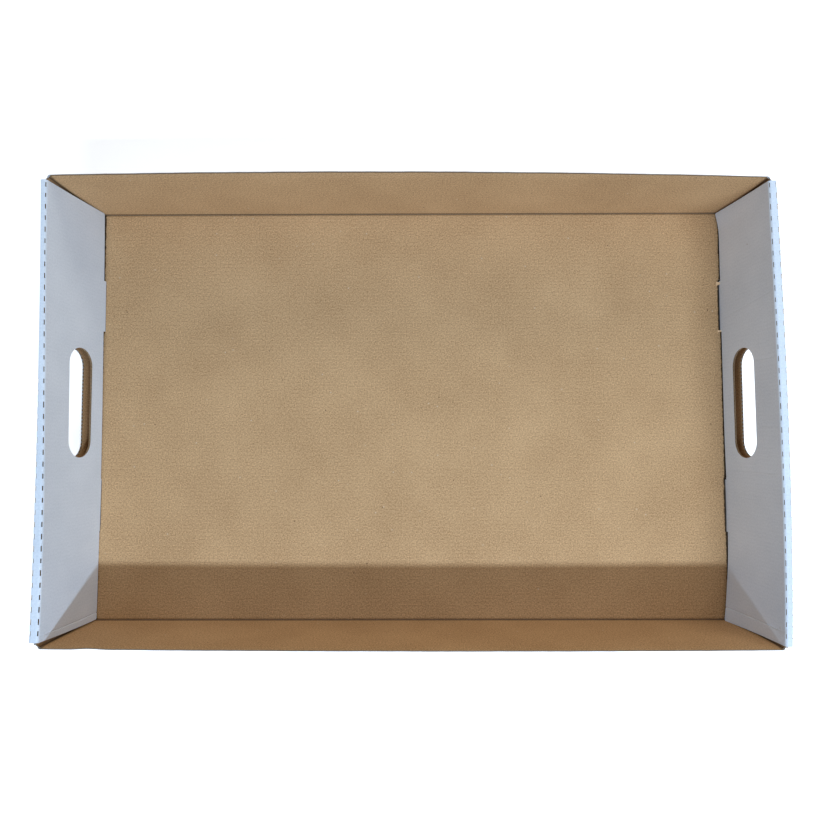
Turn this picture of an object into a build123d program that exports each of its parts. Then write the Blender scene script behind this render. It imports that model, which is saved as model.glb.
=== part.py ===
"""Cardboard tray box, folded from one die-cut sheet of fine-flute corrugated board.

The sheet is white outside and brown inside. Its two long walls stand up from the base and
end in corner flaps. Each end wall is double: the outer panel stands up from the base, the
sheet rolls over the flaps at two perforated creases, and the inner panel hangs down inside,
where two tabs lock it into slots in the base. A hand hole goes through both panels.

Frame: +X along the tray, +Y across it, +Z up. The origin is the centre of the underside.
The +X half is drawn, and the -X half is its mirror image.
"""

import os
from math import atan, cos, degrees, radians, sin, tan

from build123d import *

# Board and creases (millimetres and degrees)
board = 1.6  # thickness of the corrugated sheet
fold_radius = 0.6  # inside radius of every crease

# Tray
inner_length = 580.0  # between the inner panels, at the floor
inner_width = 380.0  # between the long walls
height = 80.0  # from the underside to the top of the end walls

# End walls
end_lean = 2.0  # how far the outer panel leans outwards
end_depth_at_floor = 10.0  # from the inner panel's face to the outer panel's, at the floor
end_depth_at_top = 7.4  # the same across both perforated creases
outer_panel_side_gap = 0.8  # outer panel's side edge, short of the long wall's outside
inner_panel_side_gap_at_top = 2.6  # inner panel's side edge to the long wall
inner_panel_side_gap_at_foot = 0.6  # the same at its foot, where it is widest
inner_panel_foot_gap = 1.4  # inner panel's foot, above the floor
inner_panel_corner_cut = 1.0  # chamfer on its lower corners

# Corner flaps
flap_lean = 0.9  # how far the flaps and their creases lean outwards
flap_headroom = 0.6  # top edge of the flaps and long walls, below the roll-over
flap_to_panel_gap = 0.5  # flap's face behind the outer panel, at the foot
flap_foot_gap = 1.2  # flap's lower edge above the floor
flap_to_hole_gap = 22.0  # flap's free end to the hand hole
flap_taper = 4.0  # how far the free end is cut in, above and below
flap_corner_radius = 8.0

# Hand hole, and the lock tabs below it
fitting_shift = 8.0  # the hole and the tabs sit this far to the +Y side of the middle
hand_hole_length = 96.0
hand_hole_height = 30.0
hand_hole_level = 33.0  # centre of the hole, up each panel from the underside
tab_width = 48.0
tab_spacing = 186.0  # centre to centre
tab_corner_cut = 1.2
tab_end_gap = 0.3  # tab's lower edge above the underside
slot_end_gap = 1.0  # at each end of a tab
slot_front_gap = 0.5  # in front of a tab's white face
slot_back_gap = 0.5  # behind the tab

# Perforated creases
perforation_pitch = 9.55
perforation_length = 4.0
perforation_width = 0.8
perforation_margin = 2.5  # least distance from the last cut to the roll-over's edge

# Places that follow from the sizes
fold_outside = fold_radius + board
lap = 3 * board  # how far a crease's strip runs on over the panels that it joins
outer_width = inner_width + 2 * board
wall_height = height - board - flap_headroom
roll_over_width = inner_width - 2 * inner_panel_side_gap_at_top
inner_panel_foot_width = inner_width - 2 * inner_panel_side_gap_at_foot
outer_panel_width = outer_width - 2 * outer_panel_side_gap
x_foot = inner_length / 2 + end_depth_at_floor  # outer panel's face at the underside
x_top = x_foot + height * tan(radians(end_lean))  # and at the top
x_crest = x_top - end_depth_at_top  # inner panel's face at the top
x_flap = x_foot - board - flap_to_panel_gap  # flap's outside at the underside
x_corner = x_flap - fold_outside  # end of the long wall, where its flap folds in
inner_lean = degrees(atan((x_crest - inner_length / 2) / (height - board)))
x_inner = inner_length / 2 - board * tan(radians(inner_lean))  # its face at the underside
tab_centres = [fitting_shift - tab_spacing / 2, fitting_shift + tab_spacing / 2]


def panel_plane(x_underside, lean):
    """The white face of an end panel. Sketch x is +Y, and sketch y runs up the panel from
    the underside's level. The plane faces +X."""
    tilt = radians(lean)
    return Plane(origin=(x_underside, 0, 0), x_dir=(0, 1, 0), z_dir=(cos(tilt), 0, -sin(tilt)))


def crease_plane(corner, first_way, second_way):
    """A plane through the middle of a crease's roundness, facing out along the line that
    halves the corner. The two ways lead from the corner along the white faces."""
    inwards = (first_way.normalized() + second_way.normalized()).normalized()
    half_angle = radians(first_way.get_angle(second_way) / 2)
    middle = corner + inwards * (fold_outside / sin(half_angle))
    return Plane(origin=middle, x_dir=(0, 1, 0), z_dir=inwards * -1)


outer_face = panel_plane(x_foot, end_lean)
inner_face = panel_plane(x_inner, inner_lean)
end_view = Plane(origin=(0, 0, 0), x_dir=(1, 0, 0), z_dir=(0, -1, 0))  # x is +X, y is +Z

# Corner flap on the +Y side: the long wall's end turns in behind the outer panel, round a
# crease that leans as the flap does. Its section is drawn square to that crease, from above.
crease_way = Plane(
    origin=(x_flap, 0, 0),
    x_dir=(cos(radians(flap_lean)), 0, -sin(radians(flap_lean))),
    z_dir=(sin(radians(flap_lean)), 0, cos(radians(flap_lean))),
)
flap_end = fitting_shift + hand_hole_length / 2 + flap_to_hole_gap
flap_foot = board + flap_foot_gap
with BuildPart() as corner_flap:
    with BuildSketch(crease_way.offset(-lap)):
        with BuildLine():
            FilletPolyline(
                (0, flap_end),
                (0, outer_width / 2),
                (x_foot - x_top - fold_outside - lap, outer_width / 2),
                radius=fold_outside,
            )
            offset(amount=board, side=Side.LEFT)
        make_face()
    extrude(amount=height + 2 * lap)
    with BuildSketch(Plane.YZ) as flap_outline:
        with BuildLine():
            Polyline(
                (outer_width / 2, flap_foot),
                (outer_width / 2, wall_height),
                (outer_width / 2 - fold_outside, wall_height),
                (flap_end, wall_height - flap_taper),
                (flap_end, flap_foot + flap_taper),
                (outer_width / 2 - fold_outside, flap_foot),
                close=True,
            )
        make_face()
        fillet(flap_outline.vertices().group_by(Axis.X)[0], radius=flap_corner_radius)
    extrude(amount=x_top, mode=Mode.INTERSECT)

with BuildPart() as tray:
    # Base and both long walls: one strip with two creases, seen along the tray
    with BuildSketch(Plane.YZ):
        with BuildLine():
            FilletPolyline(
                (-outer_width / 2, wall_height),
                (-outer_width / 2, 0),
                (outer_width / 2, 0),
                (outer_width / 2, wall_height),
                radius=fold_outside,
            )
            offset(amount=board, side=Side.LEFT)
        make_face()
    extrude(amount=x_corner)

    # Slots in the base for the lock tabs
    slot_front = x_inner - slot_front_gap
    slot_back = inner_length / 2 + board / cos(radians(inner_lean)) + slot_back_gap
    with BuildSketch(Plane.XY):
        with Locations([((slot_front + slot_back) / 2, y) for y in tab_centres]):
            Rectangle(slot_back - slot_front, tab_width + 2 * slot_end_gap)
    extrude(amount=board, mode=Mode.SUBTRACT)

    # Corner flaps
    add(corner_flap.part)
    mirror(corner_flap.part, about=Plane.XZ)

    # Crease at the foot of the outer panel
    with BuildSketch(end_view):
        with BuildLine():
            FilletPolyline(
                (x_corner, 0),
                (x_foot, 0),
                (x_foot + lap * tan(radians(end_lean)), lap),
                radius=fold_outside,
            )
            offset(amount=board, side=Side.LEFT)
        make_face()
    extrude(amount=outer_panel_width / 2, both=True)

    # Outer panel, with its hand hole
    outer_panel_top = (height - fold_outside) / cos(radians(end_lean))
    with BuildSketch(outer_face):
        with Locations((0, fold_outside)):
            Rectangle(
                outer_panel_width,
                outer_panel_top - fold_outside,
                align=(Align.CENTER, Align.MIN),
            )
        with Locations((fitting_shift, hand_hole_level)):
            SlotOverall(hand_hole_length, hand_hole_height, mode=Mode.SUBTRACT)
    extrude(amount=-board)

    # Roll-over: the strip between the two upper creases, and the creases themselves
    strip_end = height - fold_outside - lap
    with BuildSketch(end_view):
        with BuildLine():
            FilletPolyline(
                (x_foot + strip_end * tan(radians(end_lean)), strip_end),
                (x_top, height),
                (x_crest, height),
                (x_inner + strip_end * tan(radians(inner_lean)), strip_end),
                radius=fold_outside,
            )
            offset(amount=board, side=Side.LEFT)
        make_face()
    extrude(amount=roll_over_width / 2, both=True)

    # Inner panel, with its lock tabs and hand hole
    inner_panel_foot = board + inner_panel_foot_gap
    inner_panel_top = (height - fold_outside) / cos(radians(inner_lean))
    with BuildSketch(inner_face) as inner_panel:
        Polygon(
            (-inner_panel_foot_width / 2, inner_panel_foot),
            (inner_panel_foot_width / 2, inner_panel_foot),
            (roll_over_width / 2, inner_panel_top),
            (-roll_over_width / 2, inner_panel_top),
            align=None,
        )
        chamfer(inner_panel.vertices().group_by(Axis.Y)[0], inner_panel_corner_cut)
        with Locations([(y, tab_end_gap) for y in tab_centres]):
            Rectangle(
                tab_width,
                inner_panel_foot - tab_end_gap,
                align=(Align.CENTER, Align.MIN),
            )
        chamfer(inner_panel.vertices().group_by(Axis.Y)[0], tab_corner_cut)
        with Locations((fitting_shift, hand_hole_level)):
            SlotOverall(hand_hole_length, hand_hole_height, mode=Mode.SUBTRACT)
    extrude(amount=board)

    # Perforations: short cuts right through the board along both upper creases
    strip_way = Vector(1, 0, 0)
    cuts = 1 + int((roll_over_width - perforation_length - 2 * perforation_margin) / perforation_pitch)
    for crease in (
        crease_plane(Vector(x_top, 0, height), strip_way * -1, outer_face.y_dir * -1),
        crease_plane(Vector(x_crest, 0, height), strip_way, inner_face.y_dir * -1),
    ):
        with BuildSketch(crease.offset(fold_radius / 2)):
            with GridLocations(perforation_pitch, 0, cuts, 1):
                Rectangle(perforation_length, perforation_width)
        extrude(amount=fold_outside, mode=Mode.SUBTRACT)

    mirror(about=Plane.YZ)

tray.part.label = "tray"

os.makedirs("parts", exist_ok=True)
export_step(tray.part, "parts/tray.step")
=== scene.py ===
"""Cardboard tray box: one sheet of fine-flute corrugated board, white outside and brown inside,
cut, creased and folded into a shallow tray whose end walls roll over and lock into the base."""

import bpy
import numpy as np
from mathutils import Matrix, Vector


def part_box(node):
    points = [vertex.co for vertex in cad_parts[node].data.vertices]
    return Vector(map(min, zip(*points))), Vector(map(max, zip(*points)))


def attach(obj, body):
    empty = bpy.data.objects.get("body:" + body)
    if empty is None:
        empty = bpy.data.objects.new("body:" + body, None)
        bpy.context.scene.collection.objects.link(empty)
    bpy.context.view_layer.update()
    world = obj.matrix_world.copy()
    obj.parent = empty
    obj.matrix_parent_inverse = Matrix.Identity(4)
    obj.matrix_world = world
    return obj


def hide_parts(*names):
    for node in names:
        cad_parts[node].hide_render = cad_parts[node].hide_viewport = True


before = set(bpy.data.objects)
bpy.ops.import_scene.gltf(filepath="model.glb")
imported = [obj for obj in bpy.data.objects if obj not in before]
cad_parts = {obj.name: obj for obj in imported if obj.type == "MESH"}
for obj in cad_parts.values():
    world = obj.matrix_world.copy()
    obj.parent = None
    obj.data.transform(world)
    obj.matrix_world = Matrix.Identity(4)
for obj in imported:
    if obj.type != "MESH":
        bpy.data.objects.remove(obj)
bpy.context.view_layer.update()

# ------------------------------------------------------------------------------------------
# Base: the middle of the sheet, flat, brown side up. Like the whole tray it is three papers
# glued together: a white-topped outer liner, a wavy fluting and a brown recycled inner liner.
# The flutes run along the tray. Two slots at each end are punched through for the lock tabs.
# ------------------------------------------------------------------------------------------
MM = 0.001
low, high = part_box("tray")
half_width = high.y  # middle of the tray to the outside of a long wall
half_top = high.x  # middle of the tray to the outside of an end wall, at its rim
rim = high.z

board = 1.6 * MM
liner = 0.26 * MM
fluting_paper = 0.18 * MM
flute_pitch = 3.4 * MM
flute_points = 10  # lines drawn across each flute
fold = 0.6 * MM + board  # outside radius of a crease

end_lean = np.radians(2.0)  # the outer end panels lean out
x_foot = half_top - rim * np.tan(end_lean)  # outer end panel's face at the underside
flap_gap = 0.5 * MM
x_flap = x_foot - board - flap_gap  # corner flap's outside at the underside
x_corner = x_flap - fold  # end of the base and of the long walls
y_fold = half_width - fold  # where the base starts to turn up into a long wall

face_at_floor = 290.0 * MM  # inner end panel's white face, at the floor
face_at_rim = half_top - 7.4 * MM  # and at the rim
inner_lean = np.arctan((face_at_rim - face_at_floor) / (rim - board))
tab_centres = np.array([-85.0, 101.0]) * MM
tab_width = 48.0 * MM
slot_length = tab_width + 2.0 * MM
slot_front = face_at_floor - 0.6 * MM
slot_back = face_at_floor + 2.2 * MM
crushed_lip = 1.8 * MM  # width of the board's crushed edge in front of a slot
lip_crush = 0.75  # share of its thickness that the lip loses at the slot
groove_depth = 0.5 * MM  # pressed in by the creasing rule, beside each long crease
groove_reach = 0.7 * MM
groove_offset = 0.2 * MM  # the groove's middle, from where the sheet starts to turn up
sheet_end = 464.9 * MM  # middle of the flat sheet to its end, at a tab

ends = {-1: "left", 1: "right"}
sides = {-1: "front", 1: "back"}


def grid(columns, rows, keep=None):
    """Quads between lines on the flat sheet. columns are places across; rows are places along,
    either one list for all columns or, as a 2-D array, a list for each. keep(u, v) says of the
    middles of the quads which of them are board."""
    v = rows if rows.ndim == 2 else np.repeat(rows[:, None], len(columns), 1)
    u = np.broadcast_to(columns, v.shape)
    number = np.arange(v.size).reshape(v.shape)
    quads = np.stack([number[:-1, :-1], number[:-1, 1:], number[1:, 1:], number[1:, :-1]], -1)
    quads = quads.reshape(-1, 4)
    flat = np.stack([u, v], -1).reshape(-1, 2)
    if keep is not None:
        middle = flat[quads].mean(1)
        quads = quads[keep(middle[:, 0], middle[:, 1])]
    return flat, quads


def rows_between(lowest, highest, count):
    """Rows in even steps from one height to another, each of which may change along the row."""
    step = np.linspace(0, 1, count)[:, None]
    return lowest + (highest - lowest) * step


def join(*patches):
    """Grids become one: points nearer than a micron are made the same point."""
    flat = np.concatenate([points for points, _ in patches])
    starts = np.cumsum([0] + [len(points) for points, _ in patches[:-1]])
    quads = np.concatenate([q + start for (_, q), start in zip(patches, starts)])
    key = np.round(flat / (MM / 1000)).astype(np.int64)
    _, first, same = np.unique(key, axis=0, return_index=True, return_inverse=True)
    return flat[first], same.reshape(-1)[quads]


def closed_paper(patch, place, front, back, lie, face_kind, edge_kind):
    """One paper of the board. Each flat point is placed at two depths below the white face, and
    a quad closes every edge that only one quad has. Faces that come out inside out, by the sign
    of the volume they enclose, are all turned round."""
    flat, quads = patch
    used, quads = np.unique(quads, return_inverse=True)
    quads = quads.reshape(-1, 4)
    flat = flat[used]
    count = len(flat)
    u, v = flat.T
    points = np.concatenate([place(u, v, front), place(u, v, back)])
    start = quads.reshape(-1)
    end = np.roll(quads, -1, 1).reshape(-1)
    open_edge = ~np.isin(start * count + end, end * count + start)
    start, end = start[open_edge], end[open_edge]
    edge = np.stack([end, start, start + count, end + count], -1)
    faces = np.concatenate([quads, quads[:, ::-1] + count, edge])
    kind = np.repeat([face_kind, edge_kind], [2 * len(quads), len(edge)])
    a, b, c, d = (points[faces[:, i]] - points.mean(0) for i in range(4))
    if (np.cross(b, c) * a + np.cross(c, d) * a).sum() < 0:
        faces = faces[:, ::-1]
    return points, faces, kind, np.tile(lie(u, v), (2, 1))


def three_papers(liner_patch, flute_patch, place, lie):
    """The whole board: the fluting's depth follows a sine across the flutes, and just reaches
    both liners."""
    flat, _ = flute_patch
    used = np.unique(flute_patch[1])
    across = lie(*flat[used].T)[:, 1]
    swing = (board - 2 * liner - fluting_paper) / 2
    wave = board / 2 + swing * np.sin(2 * np.pi * across / flute_pitch)
    half = fluting_paper / 2
    return [
        closed_paper(liner_patch, place, 0, liner, lie, WHITE, RAW),
        closed_paper(liner_patch, place, board - liner, board, lie, BROWN, RAW),
        closed_paper(flute_patch, place, wave - half, wave + half, lie, RAW, RAW),
    ]


def make_piece(name, papers, materials=None):
    """One mesh from its papers, with the flat sheet's place of every point as its UV map."""
    starts = np.cumsum([0] + [len(p[0]) for p in papers[:-1]])
    points = np.concatenate([p[0] for p in papers])
    faces = np.concatenate([p[1] + start for p, start in zip(papers, starts)])
    kinds = np.concatenate([p[2] for p in papers])
    lies = np.concatenate([p[3] for p in papers])
    mesh = bpy.data.meshes.new(name)
    mesh.vertices.add(len(points))
    mesh.vertices.foreach_set("co", points.astype(np.float32).ravel())
    mesh.loops.add(faces.size)
    mesh.loops.foreach_set("vertex_index", faces.astype(np.int32).ravel())
    mesh.polygons.add(len(faces))
    mesh.polygons.foreach_set("loop_start", np.arange(0, faces.size, 4, dtype=np.int32))
    for paper in materials or (white_liner, brown_liner, raw_paper):
        mesh.materials.append(paper)
    mesh.polygons.foreach_set("material_index", kinds.astype(np.int32))
    mesh.update(calc_edges=True)
    mesh.uv_layers.new(name="sheet").data.foreach_set("uv", lies[faces.ravel()].ravel())
    mesh.shade_smooth()
    mesh.set_sharp_from_angle(angle=np.radians(35))
    piece = bpy.data.objects.new(name, mesh)
    bpy.context.scene.collection.objects.link(piece)
    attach(piece, "root")
    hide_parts("tray")
    return piece


def node(tree, kind, inputs=None, **settings):
    """Adds a shader node. inputs maps a socket to a value or to the output that feeds it."""
    made = tree.nodes.new(kind)
    for key, value in settings.items():
        setattr(made, key, value)
    for key, value in (inputs or {}).items():
        if isinstance(value, bpy.types.NodeSocket):
            tree.links.new(value, made.inputs[key])
        else:
            made.inputs[key].default_value = value
    return made


def calc(tree, operation, first, second=0.0, third=0.0):
    """One sum on shader values."""
    inputs = {0: first, 1: second, 2: third}
    return node(tree, "ShaderNodeMath", inputs, operation=operation).outputs[0]


def noise(tree, where, scale, detail=2.0, stretch=(1, 1, 1)):
    """Cloudy noise, in grains of 1/scale metres, drawn out along an axis by stretch."""
    spread = node(tree, "ShaderNodeMapping", {"Vector": where, "Scale": stretch}).outputs[0]
    inputs = {"Vector": spread, "Scale": scale, "Detail": detail, "Roughness": 0.6}
    return node(tree, "ShaderNodeTexNoise", inputs).outputs["Fac"]


def flecks(tree, where, scale, size, share):
    """Scattered spots: in a share of a cell pattern's cells, all within size of the middle."""
    cells = node(tree, "ShaderNodeTexVoronoi", {"Vector": where, "Scale": scale})
    chosen = node(tree, "ShaderNodeSeparateColor", {0: cells.outputs["Color"]}).outputs[0]
    picked = calc(tree, "GREATER_THAN", chosen, 1 - share)
    spot = ramp_between(tree, cells.outputs["Distance"], size, size * 0.5)
    return calc(tree, "MULTIPLY", picked, spot)


def blend_colour(tree, share, first, second):
    """Mixes two colours by a share."""
    mixed = node(tree, "ShaderNodeMix", {"Factor": share}, data_type="RGBA")
    for socket, colour in ((mixed.inputs[6], first), (mixed.inputs[7], second)):
        if isinstance(colour, bpy.types.NodeSocket):
            tree.links.new(colour, socket)
        else:
            socket.default_value = (*colour, 1)
    return mixed.outputs[2]


def paper_material(name, roughness):
    """A material with its shader, and the place on the flat sheet that its patterns follow."""
    material = bpy.data.materials.new(name)
    material.use_nodes = True
    tree = material.node_tree
    tree.nodes.clear()
    shader = node(tree, "ShaderNodeBsdfPrincipled", {"Roughness": roughness})
    node(tree, "ShaderNodeOutputMaterial", {"Surface": shader.outputs[0]})
    place = node(tree, "ShaderNodeUVMap", uv_map="sheet").outputs[0]
    return material, tree, shader, place


def sheet_axes(tree, place):
    """The place's two parts: along the tray's length on the flat sheet, and across it."""
    parts = node(tree, "ShaderNodeSeparateXYZ", {0: place}).outputs
    return parts[0], parts[1]


def ramp_between(tree, value, start, end, highest=1.0):
    """0 where a value is at start, rising evenly to highest at end."""
    inputs = {0: value, 1: start, 2: end, 3: 0.0, 4: highest}
    return node(tree, "ShaderNodeMapRange", inputs).outputs[0]


def distance_from(tree, value, middle):
    """How far a value is from a middle."""
    return calc(tree, "ABSOLUTE", calc(tree, "SUBTRACT", value, middle))


def washboard(tree, place):
    """0 to 1 across each flute, where the liner sags between the flutes it is glued to."""
    across = sheet_axes(tree, place)[1]
    angle = calc(tree, "MULTIPLY", across, 2 * np.pi / flute_pitch)
    return calc(tree, "MULTIPLY_ADD", calc(tree, "SINE", angle), 0.5, 0.5)


def bump(tree, shader, height, depth, strength):
    """Raises the surface by height times depth, in metres."""
    inputs = {"Height": height, "Distance": depth, "Strength": strength}
    bumped = node(tree, "ShaderNodeBump", inputs)
    tree.links.new(bumped.outputs[0], shader.inputs["Normal"])


WHITE, BROWN, RAW = range(3)

# Inner liner: recycled brown paper, mottled, with stray dark and pale fibres. Painted shade
# darkens it along the long creases and the corner creases, and under the inner panels' feet and
# tabs, along a ragged line that reaches further in front of one slot.
brown_liner, tree, shader, place = paper_material("brown_liner", 0.85)
cloud = noise(tree, place, 14, 3)
mottle = noise(tree, place, 760, 6)
fibre = noise(tree, place, 1900, 3, (1, 0.5, 1))
tone = calc(tree, "MULTIPLY_ADD", mottle, 0.50, calc(tree, "MULTIPLY", fibre, 0.38))
tone = calc(tree, "MULTIPLY_ADD", cloud, 0.12, tone)
tone = calc(tree, "MULTIPLY_ADD", washboard(tree, place), 0.012, tone)
ramp = node(tree, "ShaderNodeValToRGB", {0: tone})
ramp.color_ramp.elements[0].position = 0.38
ramp.color_ramp.elements[0].color = (0.333, 0.183, 0.078, 1)
ramp.color_ramp.elements[1].position = 0.63
ramp.color_ramp.elements[1].color = (0.766, 0.497, 0.266, 1)
colour = ramp.outputs[0]
for scale, size, share, fleck in (
    (120, 0.09, 0.20, (0.68, 0.54, 0.38)),
    (75, 0.055, 0.22, (0.12, 0.065, 0.032)),
    (210, 0.10, 0.14, (0.21, 0.125, 0.065)),
):
    colour = blend_colour(tree, flecks(tree, place, scale, size, share), colour, fleck)
sheet_x, sheet_y = sheet_axes(tree, place)
out_x, out_y = calc(tree, "ABSOLUTE", sheet_x), calc(tree, "ABSOLUTE", sheet_y)
# Painted shade: the liner is darkened along each long crease and each corner crease, where the
# groove and the gap behind the inner panels' sides lie in shade.
middle_of_bend = 1.7 * MM  # from a crease's start to its middle, along the sheet
from_crease = distance_from(tree, out_y, y_fold + middle_of_bend)
painted_crease_shade = ramp_between(tree, from_crease, 2.7 * MM, 1.2 * MM, 0.85)
colour = blend_colour(tree, painted_crease_shade, colour, (0.100, 0.058, 0.030))
from_corner = distance_from(tree, out_x, x_corner + middle_of_bend)
painted_crease_shade = ramp_between(tree, from_corner, 3.6 * MM, 1.5 * MM, 0.9)
colour = blend_colour(tree, painted_crease_shade, colour, (0.060, 0.035, 0.018))
# Painted shade under the inner panels' feet and tabs: the liner is darkened out past a ragged line,
# which reaches further in front of the right end's back slot, where the gap is shaded.
by_tab = distance_from(tree, sheet_y, tab_centres[1])
by_tab = calc(tree, "LESS_THAN", by_tab, slot_length / 2 - MM)
by_tab = calc(tree, "MULTIPLY", by_tab, calc(tree, "GREATER_THAN", sheet_x, 0.0))
ragged = calc(tree, "MULTIPLY_ADD", noise(tree, place, 260, 2), 2.2 * MM, slot_front - 0.8 * MM)
foot_shade_edge = calc(tree, "MULTIPLY_ADD", by_tab, -1.6 * MM, ragged)
painted_foot_shade = ramp_between(tree, calc(tree, "SUBTRACT", out_x, foot_shade_edge), 0.0, 0.5 * MM, 0.92)
for limit, where in ((y_fold, out_y), (x_corner, out_x)):
    painted_foot_shade = calc(tree, "MULTIPLY", painted_foot_shade, calc(tree, "LESS_THAN", where, limit))
colour = blend_colour(tree, painted_foot_shade, colour, (0.030, 0.018, 0.010))
tree.links.new(colour, shader.inputs["Base Color"])
shader.inputs["Specular IOR Level"].default_value = 0.25
relief = calc(tree, "MULTIPLY_ADD", fibre, 0.6, calc(tree, "MULTIPLY", mottle, 0.4))
relief = calc(tree, "MULTIPLY_ADD", washboard(tree, place), 0.35, relief)
bump(tree, shader, relief, 0.12 * MM, 0.8)

# Outer liner: white clay-coated top, smooth, with the flutes just showing through. Handling has
# left a few faint folds across the right inner panel: for each, its slant and its place across.
# The tabs' tips, down in their slots, are darkened with painted shade.
white_liner, tree, shader, place = paper_material("white_liner", 0.5)
cloud = noise(tree, place, 16, 3)
mottle = noise(tree, place, 650, 4)
tone = calc(tree, "MULTIPLY_ADD", cloud, 0.45, calc(tree, "MULTIPLY", mottle, 0.55))
tone = calc(tree, "MULTIPLY_ADD", washboard(tree, place), 0.03, tone)
ramp = node(tree, "ShaderNodeValToRGB", {0: tone})
ramp.color_ramp.elements[0].position = 0.38
ramp.color_ramp.elements[0].color = (0.700, 0.765, 0.850, 1)
ramp.color_ramp.elements[1].position = 0.66
ramp.color_ramp.elements[1].color = (0.830, 0.890, 0.970, 1)
specks = flecks(tree, place, 50, 0.03, 0.12)
colour = blend_colour(tree, specks, ramp.outputs[0], (0.38, 0.36, 0.34))
sheet_x, _ = sheet_axes(tree, place)
out_x = calc(tree, "ABSOLUTE", sheet_x)
# Painted shade on the last couple of millimetres of each tab, down in its slot.
painted_slot_shade = ramp_between(tree, out_x, sheet_end - 2.1 * MM, sheet_end - 1.5 * MM, 0.9)
colour = blend_colour(tree, painted_slot_shade, colour, (0.050, 0.034, 0.022))
tree.links.new(colour, shader.inputs["Base Color"])
shader.inputs["Specular IOR Level"].default_value = 0.4
gloss = node(tree, "ShaderNodeMapRange", {0: mottle, 3: 0.42, 4: 0.60}).outputs[0]
tree.links.new(gloss, shader.inputs["Roughness"])
relief = calc(tree, "MULTIPLY_ADD", washboard(tree, place), 0.5, calc(tree, "MULTIPLY", mottle, 0.5))
past_crease = calc(tree, "GREATER_THAN", sheet_x, x_corner + 95 * MM)
for turn, level in ((0.0, 43.0), (0.0, -13.0), (0.0, -52.0), (0.12, 143.0)):
    slant = node(tree, "ShaderNodeMapping", {"Vector": place, "Rotation": (0, 0, turn)}).outputs[0]
    off_line = distance_from(tree, sheet_axes(tree, slant)[1], level * MM)
    dent = ramp_between(tree, off_line, 0.9 * MM, 0.0, -3.0)
    relief = calc(tree, "MULTIPLY_ADD", dent, past_crease, relief)
bump(tree, shader, relief, 0.05 * MM, 0.7)

# Fluting and cut edges: rough grey-brown paper
raw_paper, tree, shader, place = paper_material("raw_paper", 0.95)
solid_place = node(tree, "ShaderNodeTexCoord").outputs["Object"]
grain = noise(tree, solid_place, 1400, 4)
colour = blend_colour(tree, grain, (0.19, 0.120, 0.068), (0.50, 0.350, 0.215))
tree.links.new(colour, shader.inputs["Base Color"])
shader.inputs["Specular IOR Level"].default_value = 0.2
bump(tree, shader, grain, 0.12 * MM, 0.8)


def lines(lowest, highest, spacing, *through):
    """Evenly spaced places from lowest to highest, and every place in through as well."""
    count = max(2, int(np.ceil((highest - lowest) / spacing)) + 1)
    every = np.concatenate([np.linspace(lowest, highest, count), *map(np.atleast_1d, through)])
    every = every[(every >= lowest - MM / 1e3) & (every <= highest + MM / 1e3)]
    return np.unique(np.round(every, 8))


def place_base(u, v, depth):
    """The base is flat: depth is height. Beside each long crease the creasing rule has pressed a
    groove into the upper face, in the shape of a bell curve. In front of each slot the tab has
    crushed the board, which thins along a quarter circle towards the slot."""
    from_crease = (y_fold - np.abs(v) - groove_offset) / groove_reach
    groove = groove_depth * np.exp(-(from_crease**2)) * (depth / board) ** 2
    in_length = np.abs(v[:, None] - tab_centres).min(1) < slot_length / 2 - 0.5 * MM
    to_slot = np.clip((np.abs(u) - slot_front) / crushed_lip + 1, 0, 1)
    at_front = np.abs(u) < slot_front + MM / 10
    crush = lip_crush * (1 - np.sqrt(1 - to_slot**2)) * in_length * at_front
    return np.stack([u, v, (depth - groove) * (1 - crush)], -1)


def lie_base(u, v):
    """The base lies on the flat sheet where it lies in the tray."""
    return np.stack([u, v], -1)


def not_slot(u, v):
    """True where the base isn't cut away for a lock tab."""
    in_length = np.abs(v[:, None] - tab_centres).min(1) < slot_length / 2
    return ~(in_length & (np.abs(u) > slot_front) & (np.abs(u) < slot_back))


slot_ends = np.concatenate([tab_centres - slot_length / 2, tab_centres + slot_length / 2])
slot_sides = np.array([-slot_back, -slot_front, slot_front, slot_back])
crease_lines = np.arange(0.2, 3.0, 0.3) * MM
near_creases = np.concatenate([y_fold - crease_lines, crease_lines - y_fold])
lip_lines = slot_front - np.array([0, 0.4, 0.9, 1.8]) * MM
base_x = lines(-x_corner, x_corner, 8 * MM, slot_sides, lip_lines, -lip_lines)
base_y = lines(-y_fold, y_fold, 8 * MM, slot_ends, near_creases)
base_y_fine = lines(-y_fold, y_fold, flute_pitch / flute_points, slot_ends)
base_x_few = lines(-x_corner, x_corner, 150 * MM, slot_sides, lip_lines, -lip_lines)
make_piece(
    "base",
    three_papers(
        grid(base_x, base_y, not_slot),
        grid(base_x_few, base_y_fine, not_slot),
        place_base,
        lie_base,
    ),
)

# ------------------------------------------------------------------------------------------
# Long walls: the sheet turns up along each side of the base and stands as a single thickness.
# The flutes run along the wall, so its raw top edge shows both liners and the paper between.
# ------------------------------------------------------------------------------------------
wall_height = rim - board - 0.6 * MM
rim_crush = 0.38  # share of its thickness that the board loses at its cut rim
rim_crush_reach = 1.3 * MM


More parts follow.
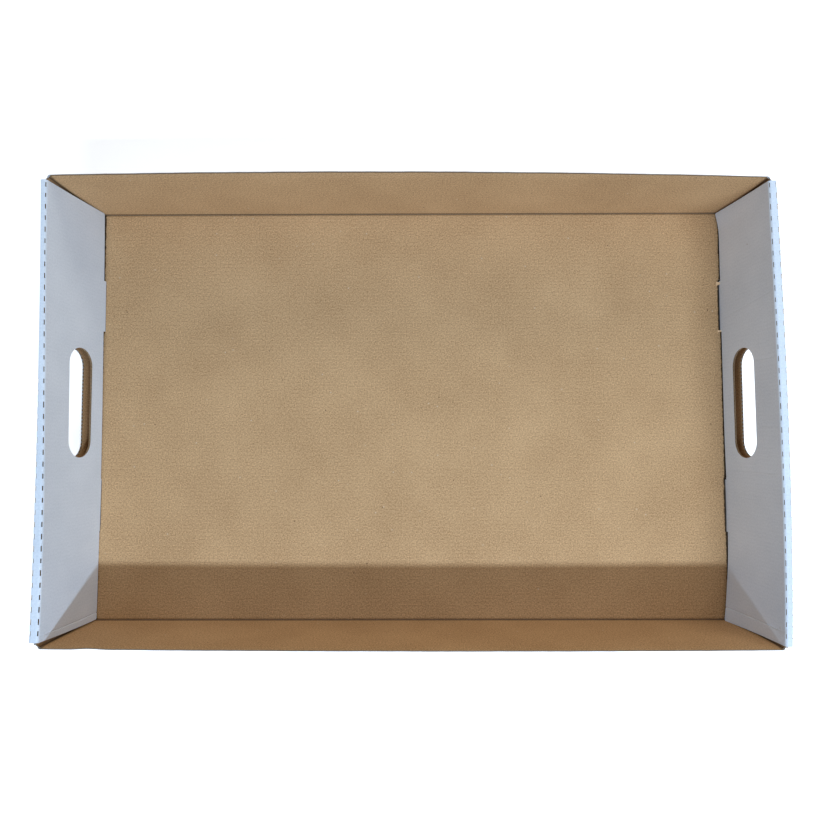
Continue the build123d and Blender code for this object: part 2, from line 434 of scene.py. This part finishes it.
def folded_strip(corners):
    """A strip's white face runs straight between corner points and turns left round each with
    the crease's radius. Gives a function from a length along the face and a depth below it to
    a place: on a straight run the place moves along the heading, and on a bend the heading
    turns in step with the length, so the place is the bend's start plus the radius times the
    change in (sin, -cos) of the heading. Depth is to the left. Also gives the whole length,
    and the length at the middle of each bend."""
    corners = np.array(corners, float)
    way = np.diff(corners, axis=0)
    length = np.hypot(*way.T)
    heading = np.unwrap(np.arctan2(way[:, 1], way[:, 0]))
    turn = np.diff(heading)
    tangent = fold * np.tan(turn / 2)
    straight = length - np.append(0, tangent) - np.append(tangent, 0)
    run = np.empty(2 * len(turn) + 1)
    run[0::2] = straight
    run[1::2] = fold * turn
    knot = np.concatenate([[0], np.cumsum(run)[:-1]])
    knot_heading = np.repeat(heading, 2)[: len(run)]
    curve = np.zeros(len(run))
    curve[1::2] = 1 / fold
    knot_place = np.empty((len(run), 2))
    knot_place[0] = corners[0]
    knot_place[1::2] = corners[1:-1] - (tangent / length[:-1])[:, None] * way[:-1]
    knot_place[2::2] = corners[1:-1] + (tangent / length[1:])[:, None] * way[1:]

    def place(along, depth):
        k = np.clip(np.searchsorted(knot, along, "right") - 1, 0, len(run) - 1)
        gone = along - knot[k]
        now = knot_heading[k] + gone * curve[k]
        was = knot_heading[k]
        bent = np.stack([np.sin(now) - np.sin(was), np.cos(was) - np.cos(now)], -1) * fold
        ahead = np.stack([np.cos(was), np.sin(was)], -1) * gone[..., None]
        face = knot_place[k] + np.where(curve[k][..., None] > 0, bent, ahead)
        inwards = np.stack([-np.sin(now), np.cos(now)], -1)
        return face + inwards * np.broadcast_to(depth, along.shape)[..., None]

    return place, run.sum(), knot[1::2] + run[1::2] / 2


wall_section, wall_length, _ = folded_strip(
    [(y_fold, 0), (half_width, 0), (half_width, wall_height)]
)
bend_lines = np.arange(0, fold * np.pi / 2 + 1.2 * MM, 0.35 * MM)
corner_lean = {(-1, 1): 1.9, (-1, -1): -0.5, (1, 1): -1.8, (1, -1): -1.8}  # degrees outwards


def corner_slope(end, side):
    """How far a corner crease goes outwards for each metre up. end may be an array."""
    left, right = corner_lean[-1, side], corner_lean[1, side]
    return np.tan(np.radians(np.where(np.asarray(end) < 0, left, right)))


def swing(along, shift, twist, bow, wave=0.0):
    """A gentle curve in an edge, in millimetres. along runs from -1 to 1, and the curve is shift,
    plus twist times along, plus the sum of bow and wave times along, times (1 - along squared)."""
    along = np.clip(along, -1, 1)
    return (shift + twist * along + (bow + wave * along) * (1 - along**2)) * MM


rim_spring = {1: (1.05, -1.95, 3.85), -1: (0.7, -0.6, -1.5)}  # three numbers of swing, by side
knock_place = -257.0 * MM
knock_reach = 9.0 * MM
knock_depth = 0.7 * MM


def raised(z):
    """A share that goes from 0 at the table to 1 at the rim, slowly at first."""
    return np.clip(z / rim, 0, 1) ** 1.3


def sprung(x, y, z):
    """The long walls' rims have sprung out of line, by a curve at the rim and less lower down. The
    front one is also knocked in near its left end, by a bell curve."""
    knock = knock_depth * np.exp(-(((x - knock_place) / knock_reach) ** 2))
    back = swing(x / half_top, *rim_spring[1])
    front = swing(x / half_top, *rim_spring[-1]) + knock
    near_wall = (np.abs(y) / half_width) ** 12
    return np.stack([x, y + near_wall * raised(z) * np.where(y > 0, back, front), z], -1)


def make_long_wall(name, side):
    """One long wall. u runs from -1 to 1 between the leaning corner creases. The rim is crushed
    thinner where it was cut, by an exponential, and ragged by a sum of three sines."""

    def place(u, v, depth):
        crushed = rim_crush * np.exp((v - wall_length) / rim_crush_reach)
        y, z = wall_section(v, depth * (1 - crushed)).T
        x = u * (x_corner + z * corner_slope(u, side))
        ragged = 0.14 * np.sin(61 * x) + 0.10 * np.sin(173 * x + side) + 0.08 * np.sin(397 * x + 2)
        return sprung(x, side * y, z + ragged * MM * (z / rim) ** 9)

    def lie(u, v):
        return np.stack([u * x_corner, side * (y_fold + v)], -1)

    columns = lines(-1, 1, 0.0125)
    few = lines(-1, 1, 0.025)
    rows = lines(0, wall_length, 6 * MM, bend_lines)
    fine = lines(fold * np.pi / 2, wall_length, flute_pitch / flute_points)
    make_piece(name, three_papers(grid(columns, rows), grid(few, fine), place, lie))


make_long_wall("long_wall_back", 1)
make_long_wall("long_wall_front", -1)

# ------------------------------------------------------------------------------------------
# Corner flaps: each end of a long wall turns in behind the outer end panel, springs open against
# it, and stops short of the hand hole. Its brown side faces into the tray.
# ------------------------------------------------------------------------------------------
flap_end = 78.0 * MM  # free end, from the middle of the tray
flap_foot = board + 1.2 * MM
flap_taper = 4.0 * MM
flap_round = 8.0 * MM
flap_lean = np.radians(1.6)
flap_ease = 2.0 * MM  # how soon past its crease a flap lies at its own lean
flap_section, flap_length, _ = folded_strip(
    [(-fold, -half_width), (0, -half_width), (0, -flap_end)]
)
# How far each end's two upper creases have sprung along +X: the four numbers of swing
outer_crease_spring = {-1: (-1.9, -0.8, 2.1, 0.0), 1: (-2.4, -0.4, 3.5, -0.8)}
inner_crease_spring = {-1: (-2.5, -2.0, 1.6, -2.1), 1: (-1.6, -0.8, 2.6, -1.4)}


def end_spring(end, y, z, share):
    """How far an end wall has moved along +X at y and z: as its outer crease at share 0, as its
    inner crease at share 1, and less lower down."""
    outer = swing(y / half_width, *outer_crease_spring[end])
    inner = swing(y / half_width, *inner_crease_spring[end])
    return raised(z) * (outer + (inner - outer) * share)


def make_corner_flap(name, end, side):
    """One flap. u is the length along it from the long wall's end, and v its height. It leans as
    its crease does there, and eases over by an exponential to the lean of the end wall."""
    turn = fold * np.pi / 2
    reach = flap_length - turn

    def inset(u):
        """How far its edges are cut in: a taper along the flap, and a rounded corner."""
        gone = np.clip((u - turn) / reach, 0, 1)
        left = np.clip(flap_round - (flap_length - u), 0, flap_round)
        return flap_taper * gone + flap_round - np.sqrt(flap_round**2 - left**2)

    def place(u, v, depth):
        ahead, minus_y = flap_section(u, depth).T
        y, z = -side * minus_y, v + 0 * u
        eased = 1 - np.exp(-np.clip(u - turn, 0, None) / flap_ease)
        slope = corner_slope(end, side) * (1 - eased) + np.tan(flap_lean) * eased
        x = end * (x_flap + ahead + z * slope) + eased * end_spring(end, y, z, 0.5)
        return sprung(x, y, z)

    def lie(u, v):
        return np.stack([end * (x_corner + u), side * (y_fold + fold * (np.pi / 2 - 1) + v)], -1)

    columns = lines(0, flap_length, 8 * MM, bend_lines, flap_length - np.arange(0, 8, 1) * MM)
    rows = rows_between(flap_foot + inset(columns), wall_height - inset(columns), 14)
    liners = grid(columns, rows)
    fluted = columns[columns >= turn - MM / 10]
    count = int((wall_height - flap_foot) / flute_pitch * flute_points)
    waves = rows_between(flap_foot + inset(fluted), wall_height - inset(fluted), count)
    make_piece(name, three_papers(liners, grid(fluted, waves), place, lie))


for end, end_name in ends.items():
    for side, side_name in sides.items():
        make_corner_flap(f"corner_flap_{end_name}_{side_name}", end, side)

# ------------------------------------------------------------------------------------------
# Outer end panels: the base's end turns up into each, white side out, with a hand hole.
# ------------------------------------------------------------------------------------------
outer_half = half_width - 0.8 * MM
hole_centre = 8.0 * MM
hole_length = 97.0 * MM
hole_height = 30.0 * MM
hole_level = 33.0 * MM
inner_hole_level = 34.3 * MM  # the inner panel has ridden up a little

end_section, end_length, end_bends = folded_strip(
    [
        (x_corner, 0),
        (x_foot, 0),
        (half_top, rim),
        (face_at_rim, rim),
        (face_at_floor - board * np.tan(inner_lean), 0),
    ]
)
crease_reach = fold + 4.8 * MM  # how far the roll-over piece runs past its creases
outer_top = end_bends[1] - crease_reach
inner_top = end_bends[2] + crease_reach


def outer_level(height):
    """Length along the sheet's end at a height up the outer panel."""
    return end_bends[1] - (rim - height) / np.cos(end_lean)


def inner_level(height):
    """Length along the sheet's end at a height up the inner panel."""
    return end_length - height / np.cos(inner_lean)


foot_half = half_width - board - 0.6 * MM  # middle to the side of an inner panel, at its foot
side_taper = 2.0 * MM  # how much nearer the middle it is at the rim
side_crease = {-1: 6.2 * MM - foot_half, 1: 12.3 * MM - foot_half}  # down each inner panel
side_crease_depth = 0.45 * MM
side_crease_reach = 0.6 * MM
rim_slide = {-1: 2.4 * MM, 1: -0.7 * MM}  # how far the roll-over sits along +Y
foot_slide = {-1: 0.6 * MM, 1: -0.8 * MM}  # and the inner panel's foot
left_foot_bow = (0.0, 0.0, 1.5, 0.8)  # the four numbers of swing
right_bulge, right_bulge_reach = 1.0 * MM, 45.0 * MM
front_curl, front_curl_from, front_curl_reach = 5.0 * MM, 125.0 * MM, 64.0 * MM
back_curl, back_curl_from, back_curl_reach = 3.2 * MM, 166.0 * MM, 22.0 * MM


def foot_spring(end, y):
    """How far an inner panel's foot has moved along +X at y. The left one bows in. The right one
    bulges out beside its front tab by a bell curve, and curls in at both corners by powers of
    the distance along the curl."""
    if end < 0:
        return swing(y / half_width, *left_foot_bow)
    bulge = right_bulge * np.exp(-(((y - tab_centres[0]) / right_bulge_reach) ** 2))
    front = front_curl * np.clip((-y - front_curl_from) / front_curl_reach, 0, 1) ** 1.6
    back = back_curl * np.clip((y - back_curl_from) / back_curl_reach, 0, 1) ** 2
    return bulge - front - back


def place_end(end):
    """A place on the end of the sheet: u is y, and v is the length along the end's section. From
    the outer crease to the inner one the share goes from 0 to 1, and the rest of the sheet's
    movement follows from it. The side crease is pressed in as a bell-shaped groove."""

    def place(u, v, depth):
        x, z = end_section(v, depth).T
        share = np.clip((v - end_bends[1]) / (end_bends[2] - end_bends[1]), 0, 1)
        up = np.clip(z / rim, 0, 1)
        from_crease = (u - side_crease[end]) / side_crease_reach
        groove = side_crease_depth * np.exp(-(from_crease**2)) * (v > end_bends[2])
        shift = end_spring(end, u, z, share) + share * (1 - up) ** 2 * foot_spring(end, u)
        taper = side_taper * (v > outer_top) * up * np.clip(np.abs(u) / foot_half, 0, 1) ** 30
        slide = rim_slide[end] * up**2 + foot_slide[end] * share * (1 - up)
        return np.stack([end * (x + groove) + shift, u - np.sign(u) * taper + slide, z], -1)

    return place


def lie_end(end):
    """On the flat sheet the end runs straight on from the base."""

    def lie(u, v):
        return np.stack([end * (x_corner + v), u], -1)

    return lie


def hole_reach(y):
    """Half the hand hole's height at y: full height along its straight part, then falling to
    nothing along a half circle at each end."""
    radius = hole_height / 2
    past = np.clip(np.abs(y - hole_centre) - (hole_length / 2 - radius), 0, radius)
    return np.where(np.abs(y - hole_centre) < hole_length / 2, np.sqrt(radius**2 - past**2), 0)


round_end = hole_length / 2 - hole_height / 2 * (1 - np.sin(np.linspace(0, np.pi / 2, 15)))
hole_columns = np.concatenate([hole_centre - round_end, hole_centre + round_end])


def panel_with_hole(columns, first, last, middle, count):
    """The panel on both sides of its hand hole: rows from first to the hole, and on to last."""
    reach = hole_reach(columns)
    before = grid(columns, rows_between(first, middle - reach, count))
    after = grid(columns, rows_between(middle + reach, last + 0 * columns, count))
    return before, after


for end, end_name in ends.items():
    middle = outer_level(hole_level)
    start = end_bends[0] + fold
    columns = lines(-outer_half, outer_half, 5 * MM, hole_columns)
    fine = lines(-outer_half, outer_half, flute_pitch / flute_points, hole_columns)
    foot_rows = lines(0, start, 0.5 * MM)
    make_piece(
        f"outer_end_panel_{end_name}",
        three_papers(
            join(
                grid(columns, foot_rows),
                *panel_with_hole(columns, start + 0 * columns, outer_top, middle, 12),
            ),
            join(*panel_with_hole(fine, start + 0 * fine, outer_top, middle, 6)),
            place_end(end),
            lie_end(end),
        ),
    )

# ------------------------------------------------------------------------------------------
# Roll-overs: the strip over each end wall's rim, between two creases that are perforated so
# that the stiff board folds over sharply. The board is crushed here, so it has no open flutes.
# ------------------------------------------------------------------------------------------
cut_pitch = 9.6 * MM
cut_middles = (np.arange(39) - 19) * cut_pitch
cut_offset = {-1: 1.8 * MM, 1: 2.4 * MM}
wide_cut = end_bends[1] + np.array([-1.6, 1.3]) * MM  # outer cuts that the bend has opened
narrow_cut = end_bends[1] + np.array([-0.25, 0.25]) * MM  # and those that stay shut, on the left
shut_from = 25.0 * MM
inner_cut = {
    -1: end_bends[2] + np.array([-0.45, 0.40]) * MM,
    1: end_bends[2] + np.array([-0.30, 0.22]) * MM,
}
around_bend = np.arange(-2.8, 3.0, 0.35) * MM
rng = np.random.default_rng(7)


def within(v, cut):
    """True between a cut's two sides."""
    return (v > cut[0]) & (v < cut[1])


def make_roll_over(end):
    """One roll-over, with cuts of slightly different lengths along both its creases."""
    middles = cut_middles + cut_offset[end]
    half_cut = rng.uniform(1.75, 2.35, len(middles)) * MM

    def not_cut(u, v):
        """True outside the perforations."""
        in_length = (np.abs(u[:, None] - middles) < half_cut).any(1)
        shut = (u > shut_from) & (end < 0)
        in_outer = np.where(shut, within(v, narrow_cut), within(v, wide_cut))
        return ~(in_length & (in_outer | within(v, inner_cut[end])))

    columns = lines(-foot_half, foot_half, 4 * MM, middles - half_cut, middles + half_cut)
    bends = np.concatenate([end_bends[1] + around_bend, end_bends[2] + around_bend])
    rows = lines(outer_top, inner_top, 2.5 * MM, bends, wide_cut, narrow_cut, inner_cut[end])
    strip = grid(columns, rows, not_cut)
    place, lie = place_end(end), lie_end(end)
    make_piece(
        f"roll_over_{ends[end]}",
        [
            closed_paper(strip, place, 0, liner, lie, WHITE, RAW),
            closed_paper(strip, place, liner, board, lie, BROWN, RAW),
        ],
    )


for end in ends:
    make_roll_over(end)

# ------------------------------------------------------------------------------------------
# Inner end panels: they hang down inside the end walls, white side in, with a hand hole over
# the outer one's. Their feet stop just above the floor, but for two tabs that lock into slots.
# ------------------------------------------------------------------------------------------
foot_corner = 1.0 * MM
right_foot_gap = 2.1 * MM  # foot above the floor
left_foot_gap = 0.7 * MM  # the same on the left, at the front
left_foot_rise = 2.4 * MM  # and how much more at the back
rise_from, rise_length = -110.0 * MM, 235.0 * MM
tab_end = 0.3 * MM
tab_corner = 1.2 * MM


def foot_level(end, y):
    """Where the panel's foot is at y, with its lower corners cut off. The right panel's foot is
    level. The left one stands higher towards the back, along a cosine."""
    past = np.clip((y - rise_from) / rise_length, 0, 1)
    left_gap = left_foot_gap + left_foot_rise * (1 - np.cos(np.pi * past)) / 2
    gap = right_foot_gap if end > 0 else left_gap
    return inner_level(board + gap + np.clip(foot_corner - (foot_half - np.abs(y)), 0, None))


def tab_level(y, middle):
    """Where a tab ends at y, with its two small corners cut off."""
    from_side = tab_width / 2 - np.abs(y - middle)
    return inner_level(tab_end + np.clip(tab_corner - from_side, 0, None))


def inner_patches(end, columns, count):
    """The panel from its top to the hole, from the hole to its foot, and its tabs."""
    foot = foot_level(end, columns)
    below, above = panel_with_hole(
        columns, inner_top + 0 * columns, foot, inner_level(inner_hole_level), count
    )
    tabs = []
    for middle in tab_centres:
        in_tab = np.abs(columns - middle) < tab_width / 2 + MM / 1e3
        tips = tab_level(columns[in_tab], middle)
        tabs.append(grid(columns[in_tab], rows_between(foot[in_tab], tips, 3)))
    return join(below, above, *tabs)


for end, end_name in ends.items():
    tab_sides = np.concatenate([tab_centres - tab_width / 2, tab_centres + tab_width / 2])
    tab_cuts = np.concatenate([tab_sides - tab_corner, tab_sides + tab_corner])
    corners = np.array([-1, 1]) * (foot_half - foot_corner)
    in_groove = side_crease[end] + np.arange(-1.2, 1.3, 0.2) * MM
    through = (hole_columns, tab_sides, tab_cuts, corners, in_groove)
    columns = lines(-foot_half, foot_half, 5 * MM, *through)
    fine = lines(-foot_half, foot_half, flute_pitch / flute_points, *through)
    make_piece(
        f"inner_end_panel_{end_name}",
        three_papers(
            inner_patches(end, columns, 12),
            inner_patches(end, fine, 6),
            place_end(end),
            lie_end(end),
        ),
    )

# ------------------------------------------------------------------------------------------
# Slot shade strips: a dark sheet of brown liner lies flat at the bottom of each slot, under the
# tab's end, as painted shade that keeps the bright table from showing through the slot.
# ------------------------------------------------------------------------------------------
def place_strip(u, v, depth):
    """A strip lies a little clear of the table, and its depth is its height."""
    return np.stack([u, v, 0.03 * MM + depth + 0 * u], -1)


strips = []
for end in (-1, 1):
    for middle in tab_centres:
        across = np.sort(end * np.linspace(slot_front, slot_back, 4))
        along = np.linspace(middle - slot_length / 2, middle + slot_length / 2, 12)
        patch = grid(across, along)
        strips.append(closed_paper(patch, place_strip, 0, 0.8 * liner, lie_base, BROWN, BROWN))
# One dark sheet standing in for the shade at the bottom of every slot.
make_piece("slot_shade_strip", strips)

# ------------------------------------------------------------------------------------------
# Torn tufts: where the right end's back tab was forced into its slot, the liner has torn up at
# both ends of the slot, and a small curl of its pale inside stands up beside the panel's foot.
# ------------------------------------------------------------------------------------------
torn_paper, tree, shader, place = paper_material("torn_paper", 0.95)
solid_place = node(tree, "ShaderNodeTexCoord").outputs["Object"]
fuzz = noise(tree, solid_place, 1100, 4)
tree.links.new(
    blend_colour(tree, fuzz, (0.80, 0.50, 0.27), (1.0, 0.74, 0.46)), shader.inputs["Base Color"]
)
shader.inputs["Specular IOR Level"].default_value = 0.15
bump(tree, shader, fuzz, 0.2 * MM, 0.9)


def make_tuft(name, x, y, length, width, height):
    """A torn curl of liner. It runs from its root out towards the panel, rises by a quarter sine,
    and its ragged sides draw in as it goes."""

    def curl(u, v, depth):
        reach = u / length
        side = v * (1 - 0.35 * reach + 0.12 * np.sin(9 * reach))
        lift = height * np.sin(np.pi / 2 * reach)
        return np.stack([x + 0.8 * u, y + side, board + lift + depth - liner], -1)

    patch = grid(lines(0, length, length / 8), lines(-width / 2, width / 2, width / 6))
    flat = closed_paper(patch, curl, 0, liner, lie_base, 0, 0)
    return make_piece(name, [flat], [torn_paper])


make_tuft("torn_tuft_back", 287.4 * MM, 122.0 * MM, 5.0 * MM, 3.4 * MM, 1.8 * MM)
make_tuft("torn_tuft_front", 287.6 * MM, 76.8 * MM, 3.2 * MM, 2.0 * MM, 1.4 * MM)

# ------------------------------------------------------------------------------------------
# Table top, studio light and camera
# ------------------------------------------------------------------------------------------
bpy.ops.mesh.primitive_plane_add(size=8, location=(0, 0, -0.1 * MM))
table = bpy.context.object
table.name = "table_top"
pale = bpy.data.materials.new("pale_table_top")
pale.use_nodes = True
finish = pale.node_tree.nodes["Principled BSDF"].inputs
finish["Base Color"].default_value = (0.9, 0.9, 0.9, 1)
finish["Roughness"].default_value = 0.8
finish["Emission Color"].default_value = (1, 1, 1, 1)
finish["Emission Strength"].default_value = 0.55
table.data.materials.append(pale)

world = bpy.data.worlds.new("studio")
bpy.context.scene.world = world
world.use_nodes = True
world.node_tree.nodes["Background"].inputs[0].default_value = (1.0, 0.94, 0.85, 1)
world.node_tree.nodes["Background"].inputs[1].default_value = 0.17


def softbox(name, place, aim, size, watts, colour):
    """A rectangular lamp at place that faces aim."""
    lamp = bpy.data.lights.new(name, "AREA")
    lamp.shape = "RECTANGLE"
    lamp.size, lamp.size_y = size
    lamp.energy = watts
    lamp.color = colour
    holder = bpy.data.objects.new(name, lamp)
    holder.location = place
    way = np.array(aim, float) - np.array(place, float)
    holder.rotation_euler = (
        np.arctan2(np.hypot(way[0], way[1]), -way[2]),
        0,
        np.arctan2(way[1], way[0]) - np.pi / 2,
    )
    bpy.context.scene.collection.objects.link(holder)


softbox("key", (0.42, -1.223, 1.6), (0.42, 0, 0.04), (1.4, 0.10), 38, (0.61, 0.78, 0.98))
softbox("fill", (0.45, 1.7, 0.75), (0, 0, 0), (1.6, 0.6), 8, (1.0, 0.93, 0.80))
softbox("left_side", (-1.3, 0.1, 0.8), (0, 0, 0.04), (0.7, 1.2), 4.4, (0.56, 0.75, 1.0))
softbox("right_side", (1.3, 0.1, 0.8), (0, 0, 0.04), (0.7, 1.2), 3.6, (0.52, 0.73, 1.0))
softbox("overhead", (0.50, 0.15, 1.0), (0.38, 0.15, 0), (0.4, 0.4), 1.2, (0.9, 0.95, 1.0))

camera = bpy.data.objects.new("camera", bpy.data.cameras.new("camera"))
camera.data.sensor_width = 36
camera.data.lens = 26.25
camera.location = (0.0020, -0.0263, 0.5619)
camera.rotation_euler = np.radians((2.88, 0.22, -0.10))
camera.data.clip_start = 0.01
bpy.context.scene.collection.objects.link(camera)
bpy.context.scene.camera = camera
bpy.context.scene.view_settings.view_transform = "Standard"
